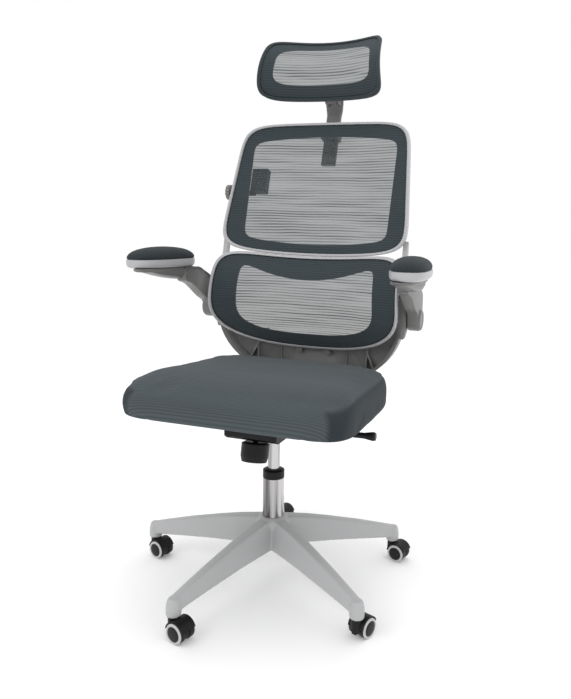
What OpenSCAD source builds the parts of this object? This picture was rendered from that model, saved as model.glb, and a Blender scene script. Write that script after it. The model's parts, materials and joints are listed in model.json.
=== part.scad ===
// Ergonomic mesh chair: five-star base on casters, gas lift, tilting seat, two-part mesh back,
// mesh headrest and flip-up arms. Millimetres, +Z up, the sitter faces -Y, the sitter's left is +X.
// The origin is on the floor, on the axis of the gas lift.

/* [Base] */
// Distance from the gas lift's axis to each caster stem
leg_reach = 320; // [300:5:340]
// Turn of the whole base about the gas lift
base_turn = 20; // [0:1:72]
// Height of the hub's top above the floor
hub_top = 156; // [150:1:165]

/* [Casters] */
// Radius of a caster wheel
wheel_r = 22; // [20:0.5:22]
// Distance from the stem's axis back to the axle
caster_trail = 20; // [18:1:22]

/* [Seat] */
// Half width of the seat cushion
seat_half_width = 260; // [240:1:262]
// Depth of the seat cushion, front to rear
seat_depth = 484; // [440:1:486]
// Slope of the seat, front edge raised
seat_tilt = 3; // [0:0.5:4]

/* [Back] */
// Half width of the upper panel at its middle height
upper_half_width = 239; // [230:1:241]
// How far the middle of the upper panel lies behind its sides
upper_bow = 42; // [20:1:45]
// Half width of the lumbar panel
lumbar_half_width = 250; // [240:1:252]

/* [Arms] */
// Distance from the middle of the chair to the middle of an arm pad
pad_centre_x = 306; // [306:1:325]
// Length of an arm pad
pad_length = 228; // [210:1:240]

/* [Hidden] */
$fn = 48;

nylon_grey = [0.65, 0.66, 0.67];
shell_grey = [0.50, 0.50, 0.50];
rim_grey = [0.74, 0.75, 0.76];
slate = [0.29, 0.33, 0.35];
mesh_grey = [0.45, 0.49, 0.50];
black = [0.05, 0.05, 0.055];
chrome = [0.80, 0.80, 0.80];
steel = [0.55, 0.56, 0.58];

run_fit = 0.05;     // radial clearance of a shaft that turns in its bore
body_gap = 0.4;     // least gap between pieces that move past each other

// Base and gas lift
leg_count = 5;
leg_pitch = 360 / leg_count;
socket_bottom = 48;
socket_r = 16;
stem_r = 5.5;
stem_top = 85;
tube_r = 25;
tube_wall = 2.5;
tube_bottom = 87;
tube_top = 251;
collar_top = 273;
cylinder_r = 14;
cylinder_bottom = 189;
cylinder_top = 400;
rod_r = 5;
rod_top = 221;

// Casters: leg k points to base_turn + 90 + 72 k; each trails its own way
caster_trails = [-16, -16, -16, 69, -16];
axle_r = 4;
wheel_inner = 6;
wheel_outer = 21;
hood_clear = 1;

// Mechanism under the seat
housing_half_width = 62;
housing_front = -135;
housing_rear = 95;
housing_bottom = 376;
housing_top = 408;
pivot_y = 70;
pivot_z = 392;
pivot_r = 6;
knob_y = -96;
knob_lean = 12;
lever_y = -50;
lever_z = 394;
lever_rise = 1.5;
bolt_x = 76;
bolt_rows = [-78, 46];
bolt_r = 4;

// Seat
seat_mid_y = -40;
seat_bottom = 427;
pan_thick = 9;
pan_inset = 60;
cushion_thick = 90;

// Panels: [half width, half height, [upper, lower] corner exponents, middle z, taper, top arch, bottom arch,
//          y of the sides at the middle z, slope, curve per mm, bow, depth of the rim]
UPPER = [upper_half_width, 161.75, [8, 8], 944.25, 0.06, 8, -18, 257, 0.306, 0, upper_bow, 20];
LUMBAR = [lumbar_half_width, 122.25, [7, 3], 660.25, 0.02, -18, -18, 141, 0, 0.0038, 40, 12];
HEAD = [157, 79, [8, 7], 1238, 0.05, -4, 4, 237, 0.22, 0.0066, 58, 14];
SHELL = [252, 200, [2.2, 2.2], 629, 0, 0, 0, 230, 0, 0, 45, 6];
rim_front = -4;
rim_wide = 6.5;
flange_front = 4.4;
flange_back = 7.2;
mesh_front = 0.4;
mesh_back = 1.9;
ring_steps = 72;
stem_lean = 17;
knob_axis_y = 268;
knob_z = 926;
tilt_y = 370;
tilt_z = 1172;

// Arms
hinge_y = 216;
hinge_z = 621;
arm_inner = 265;
arm_outer = 292;
pad_y = 14;
pad_width = 84;
pad_toe = 4;
pad_base_bottom = 735;
pad_base_top = 755;
pad_top = 779;
arm_pin_r = 6;

// ---- Shared shape functions ----

// A point of a superellipse at polar angle t; n holds the exponents of its upper and lower halves
function ring_point(t, a, b, n) =
    let (e = sin(t) >= 0 ? n[0] : n[1])
    [cos(t), sin(t)] / pow(pow(abs(cos(t)) / a, e) + pow(abs(sin(t)) / b, e), 1 / e);

// A panel outline's point [x, z] at angle t, drawn in by inset
function outline(p, t, inset) =
    let (q = ring_point(t, p[0] - inset, p[1] - inset, p[2]),
         side = 1 - pow(q[0] / p[0], 2),
         arch = q[1] > 0 ? p[5] * q[1] / p[1] : -p[6] * q[1] / p[1])
    [q[0] * (1 - p[4] * q[1] / p[1]), p[3] + q[1] + arch * side];

// How far back a panel's surface lies at x, z
function surface_y(p, x, z) =
    p[7] + p[8] * (z - p[3]) + p[9] * pow(z - p[3], 2) + p[10] * (1 - pow(x / p[0], 2));

// A point of a panel: outline point and depth behind the surface
function panel_point(p, xz, depth) = [xz[0], surface_y(p, xz[0], xz[1]) + depth, xz[1]];

// Faces of a stack of k loops of n points, capped at both ends
function stack_faces(k, n) = concat(
    [[for (i = [n - 1:-1:0]) i]],
    [for (j = [0:k - 2], i = [0:n - 1], half = [0, 1])
        let (a = j * n + i, b = j * n + (i + 1) % n)
        half == 0 ? [a, b, b + n] : [a, b + n, a + n]],
    [[for (i = [0:n - 1]) (k - 1) * n + i]]
);

// Faces of a closed ring of k stations of m points
function ring_faces(k, m) = [
    for (j = [0:k - 1], i = [0:m - 1], half = [0, 1])
        let (a = j * m + i, b = j * m + (i + 1) % m,
             c = ((j + 1) % k) * m + i, d = ((j + 1) % k) * m + (i + 1) % m)
        half == 0 ? [a, d, b] : [a, c, d]
];

function flatten(lists) = [for (l = lists) for (v = l) v];

module stack(loops) {
    polyhedron(points = flatten(loops), faces = stack_faces(len(loops), len(loops[0])), convexity = 6);
}

// Rounded box: width x, depth y, height z, resting on z = 0, with vertical edges rounded
module post_box(x, y, z, r) {
    linear_extrude(z) {
        square([x - 2 * r, y], center = true);
        square([x, y - 2 * r], center = true);
        for (sx = [-1, 1], sy = [-1, 1])
            translate([sx * (x / 2 - r), sy * (y / 2 - r)]) circle(r);
    }
}

module bar_x(x1, x2, y, z, r) {
    translate([x1, y, z]) rotate([0, 90, 0]) cylinder(h = x2 - x1, r = r);
}

// A plate in the YZ plane: outline points [y, z], from x1 to x2
module side_plate(points, x1, x2) {
    translate([x1, 0, 0]) rotate([90, 0, 90]) linear_extrude(x2 - x1) polygon(points);
}

// ---- Base and gas lift ----

module leg() {
    hull() {
        translate([leg_reach, 0, 58]) cylinder(h = 29, r1 = 15, r2 = 11, $fn = 32);
        translate([140, 0, 80]) cylinder(h = 54, r1 = 24, r2 = 12, $fn = 24);
        translate([30, 0, 88]) cylinder(h = 64, r1 = 34, r2 = 17, $fn = 24);
    }
}

module star_base() {
    color(nylon_grey) difference() {
        union() {
            for (k = [0:leg_count - 1]) rotate(base_turn + 90 + k * leg_pitch) {
                leg();
                translate([leg_reach, 0, socket_bottom]) cylinder(h = 24, r = socket_r);
            }
            translate([0, 0, 86]) cylinder(h = hub_top - 92.5, r = 40);
            translate([0, 0, hub_top - 6.5]) cylinder(h = 6.5, r1 = 40, r2 = 30);
        }
        translate([0, 0, 60]) cylinder(h = 140, r = tube_r + run_fit);
        for (k = [0:leg_count - 1]) rotate(base_turn + 90 + k * leg_pitch)
            translate([leg_reach, 0, socket_bottom - 10]) cylinder(h = 48, r = stem_r + run_fit);
    }
}

module column_tube() {
    color(chrome) difference() {
        translate([0, 0, tube_bottom]) cylinder(h = tube_top - tube_bottom, r = tube_r);
        translate([0, 0, tube_bottom + 4]) cylinder(h = 300, r = tube_r - tube_wall);
        translate([0, 0, tube_bottom - 1]) cylinder(h = 10, r = rod_r + run_fit);
    }
}

module column_collar() {
    color(black) difference() {
        union() {
            translate([0, 0, tube_top + 0.1]) cylinder(h = collar_top - tube_top - 4, r = tube_r + 0.6);
            translate([0, 0, collar_top - 4]) cylinder(h = 4, r1 = tube_r + 0.6, r2 = 19);
            translate([0, 0, tube_top - 55]) cylinder(h = 60, r = tube_r - tube_wall - 0.1);
        }
        translate([0, 0, tube_top - 60]) cylinder(h = 100, r = cylinder_r + run_fit);
    }
}

module piston_rod() {
    color(steel) {
        translate([0, 0, tube_bottom - 4]) cylinder(h = rod_top - tube_bottom + 4, r = rod_r);
        translate([0, 0, rod_top - 8]) cylinder(h = 8, r = 11);
    }
}

// Thrust ring with its rubber bumper, and the clip under the tube
module rod_clip() {
    color(steel) for (z = [tube_bottom - 3, tube_bottom + 4.1]) translate([0, 0, z]) difference() {
        cylinder(h = 2.8, r = 12);
        translate([0, 0, -1]) cylinder(h = 6, r = rod_r + run_fit);
    }
}

module gas_cylinder() {
    color(chrome) difference() {
        union() {
            translate([0, 0, cylinder_bottom]) cylinder(h = cylinder_top - cylinder_bottom, r = cylinder_r);
            translate([0, 0, cylinder_top]) cylinder(h = 4, r = 5);
        }
        translate([0, 0, cylinder_bottom + 12]) cylinder(h = cylinder_top - cylinder_bottom - 30, r = 11.5);
        translate([0, 0, cylinder_bottom - 1]) cylinder(h = 20, r = rod_r + run_fit);
    }
}

// ---- Casters ----

module at_caster(k) {
    rotate(base_turn + 90 + k * leg_pitch) translate([leg_reach, 0, 0])
        rotate(caster_trails[k] - (base_turn + 90 + k * leg_pitch)) children();
}

// Wheel axis along local Y, through the axle
module at_axle() {
    translate([caster_trail, 0, wheel_r]) rotate([-90, 0, 0]) children();
}

module caster_hood(k) {
    color(black) at_caster(k) difference() {
        union() {
            translate([0, 0, 20]) cylinder(h = socket_bottom - body_gap - 20, r = 12);
            at_axle() translate([0, 0, -5]) cylinder(h = 10, r = 20);
            at_axle() translate([0, 0, -wheel_outer + 2]) rotate(-170) rotate_extrude(angle = 150)
                translate([wheel_r + hood_clear, 0]) square([2.4, 2 * wheel_outer - 4]);
            translate([-9, -5, 14]) cube([24, 10, 30]);
        }
        at_axle() translate([0, 0, -40]) cylinder(h = 80, r = axle_r + run_fit);
        translate([0, 0, 34]) cylinder(h = 40, r = stem_r + run_fit);
        for (s = [-1, 1]) at_axle() translate([0, 0, s * (wheel_inner - 0.6 + 20) - 20])
            cylinder(h = 40, r = wheel_r + hood_clear - 0.2);
    }
}

module caster_pins(k) {
    color(steel) at_caster(k) {
        translate([0, 0, 34.2]) cylinder(h = stem_top - 34.2, r = stem_r);
        at_axle() translate([0, 0, -17.5]) cylinder(h = 35, r = axle_r);
    }
}

// side is 1 or -1: which side of the hood the wheel runs on
module caster_wheel(k, side) {
    color(black) at_caster(k) at_axle() mirror([0, 0, side > 0 ? 0 : 1]) rotate_extrude()
        polygon([
            [axle_r + run_fit, wheel_inner], [wheel_r - 1.5, wheel_inner], [wheel_r, wheel_inner + 1.5],
            [wheel_r, wheel_outer - 6], [wheel_r - 1.2, wheel_outer - 2.5], [wheel_r - 5.5, wheel_outer - 1],
            [wheel_r - 6.5, wheel_outer], [wheel_r - 8, wheel_outer + 1], [0, wheel_outer + 1.6],
            [0, 18], [axle_r + run_fit, 18]
        ]);
}

// ---- Mechanism under the seat ----

module mechanism_housing() {
    color(black) difference() {
        union() {
            side_plate([
                [housing_front, housing_top], [housing_front, housing_bottom + 8],
                [housing_front + 12, housing_bottom], [housing_rear - 14, housing_bottom],
                [housing_rear, housing_bottom + 10], [housing_rear, housing_top]
            ], -housing_half_width, housing_half_width);
            translate([-95, housing_front + 10, housing_top - 4]) cube([190, 205, 4]);
            for (sx = [-1, 1], y = bolt_rows) translate([sx * bolt_x, y, housing_top - 14])
                cylinder(h = pan_bottom(y) - 0.8 - housing_top + 14, r = 11);
        }
        translate([-housing_half_width + 3, housing_front + 3, housing_bottom + 3]) cube([
            2 * housing_half_width - 6, housing_rear - housing_front - 6, housing_top - housing_bottom - 7
        ]);
        translate([-58, housing_rear - 20, housing_bottom - 5]) cube([116, 40, 28]);
        translate([0, 0, housing_bottom - 5]) cylinder(h = 60, r = cylinder_r + run_fit);
        at_knob() translate([0, 0, -60]) cylinder(h = 50, r = 7);
        bar_x(0, 100, lever_y, lever_z, 9.5);
        bar_x(-100, 100, pivot_y, pivot_z, pivot_r + run_fit);
        for (sx = [-1, 1], y = bolt_rows) translate([sx * bolt_x, y, housing_top - 20])
            cylinder(h = 60, r = bolt_r + 0.1);
    }
}

module at_knob() {
    translate([0, knob_y, housing_top - 2]) rotate([-knob_lean, 0, 0]) children();
}

module tilt_spring() {
    color(steel) at_knob() translate([0, 0, -23]) difference() {
        cylinder(h = 16, r = 16);
        translate([0, 0, -1]) cylinder(h = 40, r = 11);
    }
}

module tension_knob() {
    color(black) at_knob() {
        translate([0, 0, -82]) cylinder(h = 12, r1 = 28, r2 = 31);
        translate([0, 0, -70]) cylinder(h = 28, r = 31);
        translate([0, 0, -42]) cylinder(h = 4, r1 = 31, r2 = 24);
        translate([0, 0, -38.5]) cylinder(h = 32, r = 6);
    }
}

module recline_pin() {
    color(steel) {
        bar_x(-74, 74, pivot_y, pivot_z, pivot_r);
        for (s = [-1, 1]) bar_x(s > 0 ? 72.5 : -75.5, s > 0 ? 75.5 : -72.5, pivot_y, pivot_z, 9);
    }
}

module seat_bolts() {
    color(steel) for (sx = [-1, 1], y = bolt_rows) translate([sx * bolt_x, y, housing_top - 18.2]) {
        cylinder(h = 4, r = 7);
        cylinder(h = pan_bottom(y) + 5 - housing_top + 18.2, r = bolt_r);
    }
}

module lock_slider() {
    color(steel) difference() {
        translate([20, lever_y - 12, lever_z - 9.5]) cube([22, 24, 19]);
        bar_x(10, 60, lever_y, lever_z, 6.8);
    }
}

module height_lever() {
    color(black) {
        bar_x(19, 150, lever_y, lever_z, 5);
        translate([148, lever_y, lever_z]) rotate([0, 90 - lever_rise, 0]) {
            cylinder(h = 86, r = 6.5);
            translate([0, 0, 84]) cylinder(h = 20, r1 = 6.5, r2 = 10);
            translate([0, 0, 104]) cylinder(h = 6, r1 = 10, r2 = 8.5);
        }
    }
}

// ---- Seat ----

// One loop of the cushion: drawn in by inset, at height z above the seat's bottom plane
function seat_loop(inset, z, drop) = [
    for (i = [0:ring_steps - 1])
        let (t = i * 360 / ring_steps,
             q = ring_point(t, seat_half_width - inset, seat_depth / 2 - inset, [6, 7]),
             narrow = 1 - 0.06 * (q[1] / (seat_depth / 2) + 1) / 2,
             front = pow(max(0, -q[1] / (seat_depth / 2) - 0.35) / 0.65, 2))
        [q[0] * narrow, q[1], z - drop * front]
];

// Height of the pan's underside at y
function pan_bottom(y) = seat_bottom - pan_thick - (y - seat_mid_y) * tan(seat_tilt);

module on_seat() {
    translate([0, seat_mid_y, seat_bottom]) rotate([-seat_tilt, 0, 0]) children();
}

module seat_cushion() {
    color(slate) on_seat() stack([
        seat_loop(12, 0.3, 0), seat_loop(2, 12, 0), seat_loop(0, 36, 4), seat_loop(3, 60, 16),
        seat_loop(14, 76, 24), seat_loop(40, cushion_thick - 4, 28), seat_loop(110, cushion_thick, 30)
    ]);
}

module seat_pan() {
    color(black) difference() {
        on_seat() translate([0, 0, -pan_thick]) linear_extrude(pan_thick)
            polygon([for (q = seat_loop(pan_inset, 0, 0)) [q[0], q[1]]]);
        for (sx = [-1, 1], y = bolt_rows) translate([sx * bolt_x, y, housing_top])
            cylinder(h = pan_bottom(y) + 5.6 - housing_top, r = bolt_r + 0.1);
    }
}

// ---- Back ----

module recline_arm() {
    color(shell_grey) difference() {
        union() {
            side_plate([[110, 374], [262, 374], [290, 396], [297, 440], [297, 548], [281.5, 548],
                        [281.5, 456], [272, 412], [240, 394], [110, 394]], -42, 42);
            for (s = [-1, 1]) {
                bar_x(s > 0 ? 64 : -72, s > 0 ? 72 : -64, pivot_y, pivot_z, 10.5);
                side_plate([
                    [pivot_y, pivot_z - 10.5], [116, 374], [130, 374], [130, 394], [pivot_y, pivot_z + 10.5]
                ], s > 0 ? 64 : -72, s > 0 ? 72 : -64);
            }
            translate([-72, 110, 374]) cube([144, 20, 20]);
        }
        bar_x(-100, 100, pivot_y, pivot_z, pivot_r + run_fit);
    }
}

// Section of the shell at angle t: a plate between the outer and inner edges with a wall round the outside
function shell_station(t) =
    let (o = outline(SHELL, t, 0), w = outline(SHELL, t, 8),
         q = ring_point(t, 226, 86, [2.6, 2.6]), n = [q[0], SHELL[3] + q[1]])
    [panel_point(SHELL, o, -34), panel_point(SHELL, w, -34), panel_point(SHELL, w, 0),
     panel_point(SHELL, n, 0), panel_point(SHELL, n, 6), panel_point(SHELL, o, 6)];

// A rib on the shell's front face, high1 proud of it at its lower end and high2 at its upper end
module shell_rib(x1, z1, high1, x2, z2, high2) {
    y1 = surface_y(SHELL, x1, z1);
    y2 = surface_y(SHELL, x2, z2);
    hull() {
        translate([x1 - 1.5, y1 - high1, z1]) cube([3, high1 + 2, 3]);
        translate([x2 - 1.5, y2 - high2, z2]) cube([3, high2 + 3, 3]);
    }
}

module back_shell() {
    color(shell_grey) difference() {
        union() {
            stack([for (t = [180:4:360]) shell_station(t)]);
            for (s = [-1, 1]) {
                hull() {
                    bar_x(s > 0 ? 234 : -262, s > 0 ? 262 : -234, hinge_y, hinge_z, 22);
                    translate([s * 248 - 7, hinge_y - 10, hinge_z - 50]) cube([12, 28, 20]);
                    translate([s * 245 - 6, hinge_y - 12, hinge_z + 62]) cube([12, 24, 4]);
                }
                shell_rib(s * 150, 467, 20, s * 158, 565, 8);
                shell_rib(s * 172, 485, 20, s * 132, 563, 8);
                shell_rib(s * 90, 443, 16, s * 93, 494, 4.5);
                shell_rib(s * 93, 494, 4.5, s * 96, 555, 4.5);
            }
        }
        for (s = [-1, 1]) bar_x(s > 0 ? 225 : -290, s > 0 ? 290 : -225, hinge_y, hinge_z, arm_pin_r);
    }
}

module shell_screws() {
    color(steel) for (sx = [-24, 24], z = [480, 528]) translate([sx, 297.1, z]) rotate([-90, 0, 0])
        cylinder(h = 3, r1 = 5, r2 = 4);
}

// Two posts that carry the upper panel on the shell
module side_posts() {
    color(rim_grey) for (s = [-1, 1]) hull() {
        translate([s * 245 - 6, hinge_y - 11, hinge_z + 66]) cube([12, 22, 4]);
        translate([s * 244 - 6, 232.5, 806]) cube([12, 13, 4]);
    }
}

// Section of a panel frame at angle t: the raised rim and the flange that reaches in to the window
function frame_station(p, win, t) =
    let (o = outline(p, t, 0), r = outline(p, t, rim_wide), m = outline(p, t, 5), w = outline(win, t, 0))
    [panel_point(p, o, rim_front), panel_point(p, r, rim_front), panel_point(p, r, flange_front),
     panel_point(p, w, flange_front), panel_point(p, w, flange_back), panel_point(p, m, flange_back),
     panel_point(p, m, p[11]), panel_point(p, o, p[11])];

module panel_frame(p, win) {
    stations = [for (i = [0:ring_steps - 1]) frame_station(p, win, i * 360 / ring_steps)];
    polyhedron(points = flatten(stations), faces = ring_faces(ring_steps, 8), convexity = 8);
}

// A thin sheet inside a panel's rim, in front of its flange: a small round loop in the middle, one half
// way to the window's edge, one at that edge and one inside the rim, at both depths
module panel_sheet(p, win) {
    turns = [for (i = [0:ring_steps - 1]) i * 360 / ring_steps];
    centre = [0, win[3]];
    middle = [for (t = turns) centre + 5 * [cos(t), sin(t)]];
    edge = [for (t = turns) outline(win, t, 0)];
    half_way = [for (e = edge) (e + centre) / 2];
    outside = [for (t = turns) outline(p, t, rim_wide + 0.5)];
    function at_depth(loops, depth) = [for (l = loops) [for (xz = l) panel_point(p, xz, depth)]];
    stack(concat(at_depth([middle, half_way, edge, outside], mesh_back),
                 at_depth([outside, edge, half_way, middle], mesh_front)));
}

UPPER_WINDOW = [195.5, 125, [16, 16], 935, -0.008, 15, -16, 0, 0, 0, 1];
LUMBAR_WINDOW = [182, 85, [10, 4], 663, 0.02, -42, -14, 0, 0, 0, 1];
HEAD_WINDOW = [126, 48, [5, 5], 1243, 0.03, -2, 3, 0, 0, 0, 1];

module upper_frame() {
    color(rim_grey) panel_frame(UPPER, UPPER_WINDOW);
}

module upper_mesh() {
    color(mesh_grey) panel_sheet(UPPER, UPPER_WINDOW);
}

module lumbar_frame() {
    color(rim_grey) panel_frame(LUMBAR, LUMBAR_WINDOW);
}

module lumbar_mesh() {
    color(mesh_grey) panel_sheet(LUMBAR, LUMBAR_WINDOW);
}

// Slides on the shell behind the lumbar panel's lower edge
module lumbar_bracket() {
    color(shell_grey) {
        translate([-40, 246, 541]) cube([80, 24, 8]);
        for (s = [-1, 1]) translate([s * 40 - 8, 258, 508]) cube([16, 12, 41]);
    }
}

module adjuster_housing() {
    color(black) {
        translate([-179, 304, 958]) rotate([-stem_lean, 0, 0]) translate([-22, -10, -32]) cube([44, 22, 64]);
        bar_x(-244, -217, knob_axis_y, knob_z, 5);
        translate([-228, knob_axis_y - 2, knob_z - 7]) cube([12, 22, 13]);
        translate([-224, 276, knob_z - 7]) cube([34, 24, 14]);
    }
}

module adjuster_knob() {
    color(steel) difference() {
        bar_x(-257, -246, knob_axis_y, knob_z, 20);
        for (a = [0:30:330]) translate([-260, knob_axis_y, knob_z]) rotate([a, 0, 0])
            translate([0, 0, 21]) rotate([0, 90, 0]) cylinder(h = 16, r = 3);
    }
}

// ---- Headrest ----

module at_stem() {
    translate([0, 372.5, 1089]) rotate([-stem_lean, 0, 0]) children();
}

module headrest_socket() {
    color(shell_grey) at_stem() difference() {
        translate([-24, -20.1, -22]) cube([48, 31.1, 30]);
        translate([-20.4, -7.4, -60]) cube([40.8, 14.8, 100]);
    }
}

module headrest_stem() {
    color(shell_grey) difference() {
        union() {
            at_stem() translate([-20, -7, -90]) cube([40, 14, 148]);
            for (x = [-19.6, 12]) {
                bar_x(x, x + 7.6, tilt_y, tilt_z, 9);
                side_plate([
                    [tilt_y - 8, tilt_z], [tilt_y + 8, tilt_z], [393, 1138], [382.5, 1138]
                ], x, x + 7.6);
            }
        }
        bar_x(-40, 40, tilt_y, tilt_z, 3);
    }
}

module headrest_pin() {
    color(steel) bar_x(-22, 22, tilt_y, tilt_z, 3);
}

module headrest_bracket() {
    color(shell_grey) difference() {
        union() {
            bar_x(-11.5, 11.5, tilt_y, tilt_z, 8.5);
            side_plate([[tilt_y, tilt_z - 8.5], [350, tilt_z + 1], [322, tilt_z + 5], [312, tilt_z + 8],
                        [306.5, tilt_z + 24], [318, tilt_z + 24], [338, tilt_z + 16], [tilt_y, tilt_z + 8.5]],
                       -11.5, 11.5);
        }
        bar_x(-40, 40, tilt_y, tilt_z, 3.05);
    }
}

module headrest_frame() {
    color(slate) panel_frame(HEAD, HEAD_WINDOW);
}

module headrest_mesh() {
    color(mesh_grey) panel_sheet(HEAD, HEAD_WINDOW);
}

// ---- Arms ----

module arm_pins() {
    color(steel) for (s = [-1, 1]) bar_x(s > 0 ? 236 : -292, s > 0 ? 292 : -236, hinge_y, hinge_z, arm_pin_r);
}

// side is 1 for the sitter's left, -1 for the right
module on_pad(side) {
    translate([side * pad_centre_x, pad_y, 0]) rotate(side * pad_toe) children();
}

function pad_loop(inset, z) = [
    for (i = [0:35])
        let (q = ring_point(i * 10, pad_width / 2 - inset, pad_length / 2 - inset, [4, 4]))
        [q[0], q[1], z]
];

module arm_beam(side) {
    color(shell_grey) mirror([side > 0 ? 0 : 1, 0, 0]) difference() {
        union() {
            side_plate([[hinge_y - 26, hinge_z], [hinge_y - 38, hinge_z + 22], [62, 697], [62, 727],
                        [121, 734], [140, 730], [hinge_y + 16, 696], [hinge_y + 26, hinge_z]],
                       arm_inner, arm_outer);
            bar_x(arm_inner, arm_outer, hinge_y, hinge_z, 27);
            hull() {
                translate([arm_inner, 58, 697]) cube([arm_outer - arm_inner, 40, 8]);
                translate([arm_inner + 4, 30, 716]) cube([54, 84, 18.6]);
            }
            hull() {
                translate([arm_inner, 50, 700]) cube([arm_outer - arm_inner, 16, 8]);
                translate([arm_inner + 6, 20, 708]) cube([54, 50, 26.6]);
                translate([arm_inner + 20, -78, 731]) cube([40, 16, 3.6]);
            }
            bar_x(arm_outer, arm_outer + 5, hinge_y, hinge_z, 23);
        }
        bar_x(arm_inner - 20, arm_outer + 0.5, hinge_y, hinge_z, arm_pin_r + run_fit);
    }
}

module arm_pad_base(side) {
    color(rim_grey) on_pad(side)
        stack([pad_loop(7, pad_base_bottom), pad_loop(1, pad_base_bottom + 5), pad_loop(0, pad_base_top)]);
}

module arm_pad(side) {
    color(slate) on_pad(side)
        stack([pad_loop(3, pad_base_top + 0.3), pad_loop(2, pad_base_top + 6), pad_loop(7, pad_top - 8),
               pad_loop(18, pad_top - 2), pad_loop(30, pad_top)]);
}

// ---- Nodes ----

star_base();
column_tube();
column_collar();
piston_rod();
rod_clip();
for (k = [0:leg_count - 1]) {
    caster_hood(k);
    caster_pins(k);
    caster_wheel(k, 1);
    caster_wheel(k, -1);
}
gas_cylinder();
mechanism_housing();
tilt_spring();
recline_pin();
seat_bolts();
seat_pan();
seat_cushion();
tension_knob();
lock_slider();
height_lever();
recline_arm();
back_shell();
shell_screws();
side_posts();
upper_frame();
upper_mesh();
adjuster_housing();
adjuster_knob();
headrest_socket();
arm_pins();
lumbar_frame();
lumbar_mesh();
lumbar_bracket();
headrest_stem();
headrest_pin();
headrest_frame();
headrest_mesh();
headrest_bracket();
for (s = [["left", 1], ["right", -1]]) {
    arm_beam(s[1]);
    arm_pad_base(s[1]);
    arm_pad(s[1]);
}
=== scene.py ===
"""Looks of a mesh office chair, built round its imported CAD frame.

Metres, +Z up, the sitter faces -Y and the sitter's left is +X. Lists of profile, station and panel values
are in millimetres, as in the CAD.
"""
import json
import math
from collections import namedtuple

import bmesh
import bpy
from mathutils import Matrix, Vector
from mathutils.kdtree import KDTree


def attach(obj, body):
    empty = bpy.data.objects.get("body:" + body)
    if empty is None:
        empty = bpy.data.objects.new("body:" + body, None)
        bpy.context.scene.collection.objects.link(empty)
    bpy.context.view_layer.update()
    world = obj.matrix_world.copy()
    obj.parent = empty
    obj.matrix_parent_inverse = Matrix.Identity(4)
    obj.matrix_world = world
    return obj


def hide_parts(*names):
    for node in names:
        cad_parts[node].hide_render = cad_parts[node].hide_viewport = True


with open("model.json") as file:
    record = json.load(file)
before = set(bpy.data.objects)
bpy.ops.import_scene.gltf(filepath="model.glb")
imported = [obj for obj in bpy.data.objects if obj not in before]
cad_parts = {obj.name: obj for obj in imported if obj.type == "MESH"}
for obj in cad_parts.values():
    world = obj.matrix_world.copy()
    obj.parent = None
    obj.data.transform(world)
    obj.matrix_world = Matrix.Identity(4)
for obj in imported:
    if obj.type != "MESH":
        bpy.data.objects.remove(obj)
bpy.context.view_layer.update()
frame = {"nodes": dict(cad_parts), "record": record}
MM = 0.001
AXIS_GAP = 1e-5

# Linear colours
NYLON = (0.41, 0.413, 0.418)
SHELL = (0.145, 0.143, 0.140)
RIM = (0.40, 0.40, 0.41)
# Seat side panels: a darker cloth than the top, with painted shade from the light above added to it
SLATE = (0.060, 0.073, 0.080)
SLATE_SIDE_AND_SHADE = (0.026, 0.033, 0.038)
SLATE_DARK = (0.040, 0.051, 0.057)
PAD_SLATE = (0.026, 0.032, 0.035)
MESH = (0.060, 0.070, 0.074)
BLACK = (0.007, 0.007, 0.008)
CHROME_DARK = (0.10, 0.095, 0.095)
CHROME_LIGHT = (0.62, 0.61, 0.61)
STEEL = (0.30, 0.30, 0.31)
PAPER = (0.90, 0.90, 0.90)

# Panels: corners are the [upper, lower] exponents, middle is a height, side_y is the y of the sides,
# curve is per mm, and rim_depth is how far the rim reaches back
Panel = namedtuple("Panel", (
    "half_width", "half_height", "corners", "middle", "taper", "top_arch", "bottom_arch",
    "side_y", "slope", "curve", "bow", "rim_depth",
))
UPPER = Panel(239, 161.75, (8, 8), 944.25, 0.06, 8, -18, 257, 0.306, 0, 42, 20)
LUMBAR = Panel(250, 122.25, (7, 3), 660.25, 0.02, -18, -18, 141, 0, 0.0038, 40, 12)
HEAD = Panel(157, 79, (8, 7), 1238, 0.05, -4, 4, 237, 0.22, 0.0066, 58, 14)
UPPER_WINDOW = Panel(195.5, 125, (16, 16), 935, -0.008, 15, -16, 0, 0, 0, 1, 0)
LUMBAR_WINDOW = Panel(182, 85, (10, 4), 663, 0.02, -42, -14, 0, 0, 0, 1, 0)
HEAD_WINDOW = Panel(126, 48, (5, 5), 1243, 0.03, -2, 3, 0, 0, 0, 1, 0)
RIM_WIDE = 6.5
CLOTH_INSET = 6.3
FLANGE_INSET = 6.2
SHEET_DEPTH = 1.6

# Base
LEG_REACH = 0.320
BASE_TURN = 20
LEG_COUNT = 5
CASTER_TRAILS = (-16, -16, -16, 69, -16)
CASTER_TRAIL = 0.020
WHEEL_R = 0.022

# Seat
SEAT_HALF_WIDTH = 260
SEAT_HALF_DEPTH = 242
SEAT_OVERHANG = 5
SEAT_NARROWING = 0.075
SEAT_CORNERS = (6, 8)
SEAT_VOXEL = 0.006
SEAT_PLACE = Matrix.Translation((0, -0.040, 0.427)) @ Matrix.Rotation(math.radians(-3), 4, "X")

# Arms
HINGE = (0.216, 0.621)
BOSS_R = 27
STRUT_SIDES = (0.2652, 0.292)
KEEL_CENTRE = 0.301
KEEL_TOP = 0.7344
LEDGE_CENTRE = (0.3035, 0.012)
DISC_X = 0.2915
PAD_CENTRE = (0.306, 0.014)
PAD_TOE = 4
PAD_HALF = (42, 114)
PAD_BOTTOM = 755.0

# Headrest upright
TILT_PIN = (0.370, 1.172)
LUG_STARTS = (-19.6, 12.6)

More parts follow.
